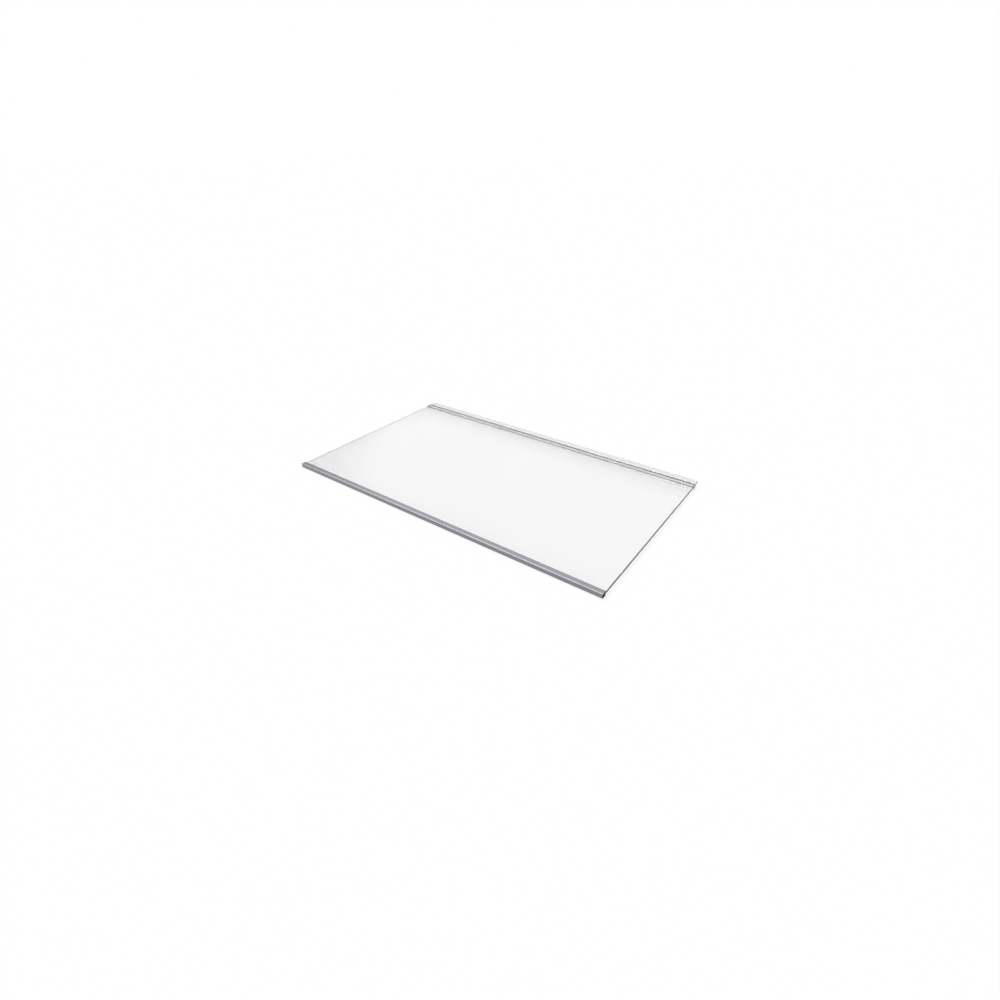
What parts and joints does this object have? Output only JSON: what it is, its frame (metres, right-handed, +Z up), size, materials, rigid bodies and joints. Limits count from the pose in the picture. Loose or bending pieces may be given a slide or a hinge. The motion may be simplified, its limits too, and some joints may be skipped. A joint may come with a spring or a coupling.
{
  "type": "refrigerator shelf",
  "caption": "Flat glass refrigerator shelf with a grey channel trim along its front edge and a clear channel trim with a spacer fin along its rear edge.",
  "frame": {"origin": "middle of the shelf's outline, on the plane of the trims' undersides that it rests on", "axes": "+X along the width to the right as seen from the front, -Y towards the front trim, +Z up"},
  "size_m": [0.52, 0.3124, 0.0067],
  "materials": {
    "pane_glass": "clear toughened float glass with polished faces and ground edges",
    "grey_plastic": "satin silver-grey extruded plastic",
    "clear_plastic": "clear, slightly milky extruded plastic"
  },
  "bodies": {
    "root": {"glass_panel": "pane_glass", "front_trim": "grey_plastic", "rear_trim": "clear_plastic"}
  },
  "joints": []
}
